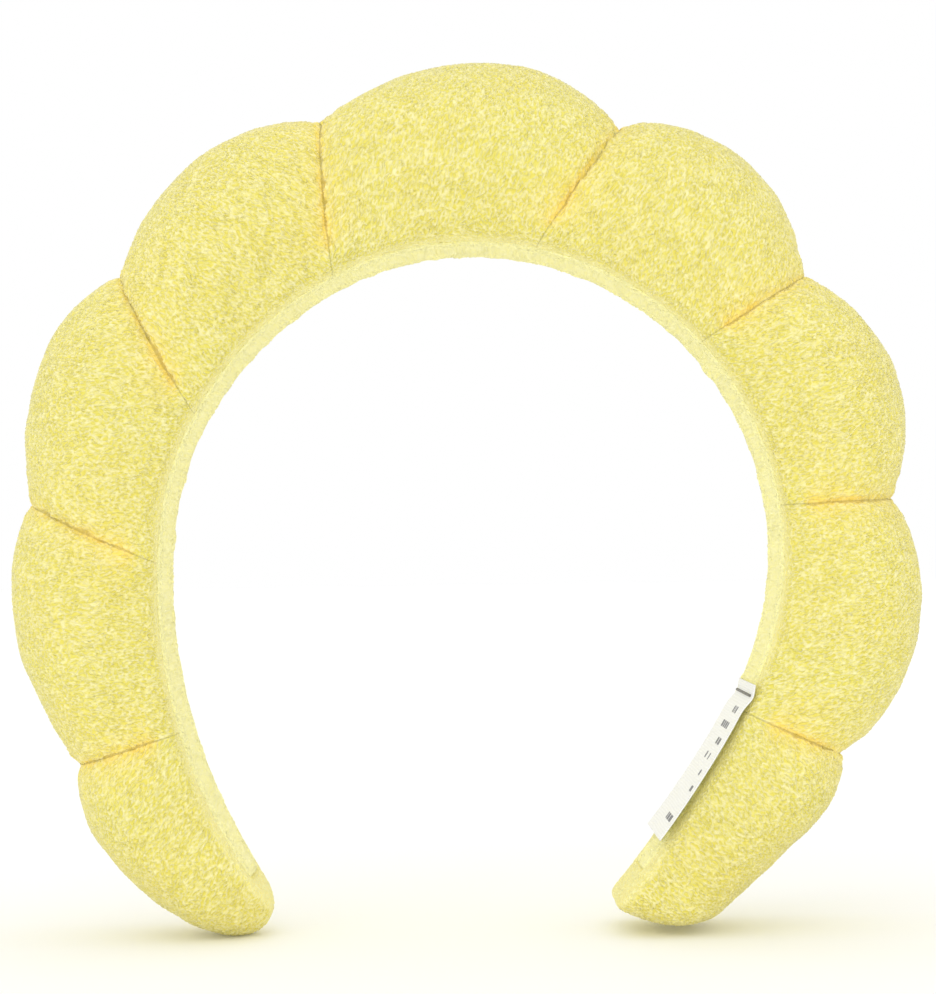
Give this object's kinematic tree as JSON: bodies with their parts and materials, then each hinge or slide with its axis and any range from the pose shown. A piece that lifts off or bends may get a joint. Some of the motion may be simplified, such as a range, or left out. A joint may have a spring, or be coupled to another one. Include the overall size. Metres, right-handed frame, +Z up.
{
  "type": "spa headband",
  "caption": "Padded terry spa headband: a row of stuffed puffs drawn in by threads around a springy open hoop, with a care label inside one arm.",
  "frame": {"origin": "on the surface that the two arm tips stand on, midway across the band and midway through its depth", "axes": "+X across the head towards the arm with the care label, +Y from the front of the band to its back, +Z up to the crown"},
  "size_m": [0.1744, 0.0448, 0.167],
  "materials": {
    "terry": "pale yellow looped terry pile",
    "terry_lining": "pale yellow short terry pile, flatter than the outside",
    "foam": "open-cell white sponge",
    "hoop_plastic": "semi-matte moulded plastic strip",
    "crease_thread": "twisted polyester thread",
    "label_satin": "white woven satin ribbon with plain grey bars",
    "label_thread": "dark twisted thread"
  },
  "bodies": {
    "crown": {"cover_crown": "terry", "foam_crown": "foam", "hoop_crown": "hoop_plastic", "lining_crown": "terry_lining", "thread_left_1": "crease_thread", "thread_right_1": "crease_thread"},
    "left_1": {"cover_left_1": "terry", "foam_left_1": "foam", "hoop_left_1": "hoop_plastic", "lining_left_1": "terry_lining", "thread_left_2": "crease_thread"},
    "left_2": {"cover_left_2": "terry", "foam_left_2": "foam", "hoop_left_2": "hoop_plastic", "lining_left_2": "terry_lining", "thread_left_3": "crease_thread"},
    "left_3": {"cover_left_3": "terry", "foam_left_3": "foam", "hoop_left_3": "hoop_plastic", "lining_left_3": "terry_lining", "thread_left_4": "crease_thread"},
    "left_4": {"cover_left_4": "terry", "foam_left_4": "foam", "hoop_left_4": "hoop_plastic", "lining_left_4": "terry_lining"},
    "right_1": {"cover_right_1": "terry", "foam_right_1": "foam", "hoop_right_1": "hoop_plastic", "lining_right_1": "terry_lining", "thread_right_2": "crease_thread"},
    "right_2": {"cover_right_2": "terry", "foam_right_2": "foam", "hoop_right_2": "hoop_plastic", "lining_right_2": "terry_lining", "thread_right_3": "crease_thread"},
    "right_3": {"cover_right_3": "terry", "foam_right_3": "foam", "hoop_right_3": "hoop_plastic", "lining_right_3": "terry_lining", "thread_right_4": "crease_thread", "care_label": "label_satin", "label_stitching": "label_thread"},
    "right_4": {"cover_right_4": "terry", "foam_right_4": "foam", "hoop_right_4": "hoop_plastic", "lining_right_4": "terry_lining"}
  },
  "joints": [
    {"name": "flex_left_1", "type": "hinge", "parent": "crown", "child": "left_1", "pos_m": [-0.0249, 0, 0.12879], "axis": [0, 1, 0], "range_deg": [-4, 9], "stiffness_Nm_per_rad": 2.1},
    {"name": "flex_left_2", "type": "hinge", "parent": "left_1", "child": "left_2", "pos_m": [-0.05298, 0, 0.10286], "axis": [0, 1, 0], "range_deg": [-3.2, 7]},
    {"name": "flex_left_3", "type": "hinge", "parent": "left_2", "child": "left_3", "pos_m": [-0.06112, 0, 0.07282], "axis": [0, 1, 0], "range_deg": [-2, 4.5]},
    {"name": "flex_left_4", "type": "hinge", "parent": "left_3", "child": "left_4", "pos_m": [-0.05727, 0, 0.03872], "axis": [0, 1, 0], "range_deg": [-0.8, 1.7]},
    {"name": "flex_right_1", "type": "hinge", "parent": "crown", "child": "right_1", "pos_m": [0.0157, 0, 0.13281], "axis": [0, -1, 0], "range_deg": [-4, 9], "stiffness_Nm_per_rad": 2.1},
    {"name": "flex_right_2", "type": "hinge", "parent": "right_1", "child": "right_2", "pos_m": [0.04757, 0, 0.11375], "axis": [0, -1, 0], "range_deg": [-3.2, 7]},
    {"name": "flex_right_3", "type": "hinge", "parent": "right_2", "child": "right_3", "pos_m": [0.0627, 0, 0.08127], "axis": [0, -1, 0], "range_deg": [-2, 4.5]},
    {"name": "flex_right_4", "type": "hinge", "parent": "right_3", "child": "right_4", "pos_m": [0.05513, 0, 0.04089], "axis": [0, -1, 0], "range_deg": [-0.8, 1.7]}
  ],
  "couplings": [
    {"joint": "flex_left_2", "follows": "flex_left_1", "ratio": 0.777},
    {"joint": "flex_left_3", "follows": "flex_left_1", "ratio": 0.499},
    {"joint": "flex_left_4", "follows": "flex_left_1", "ratio": 0.188},
    {"joint": "flex_right_2", "follows": "flex_right_1", "ratio": 0.777},
    {"joint": "flex_right_3", "follows": "flex_right_1", "ratio": 0.499},
    {"joint": "flex_right_4", "follows": "flex_right_1", "ratio": 0.188}
  ]
}
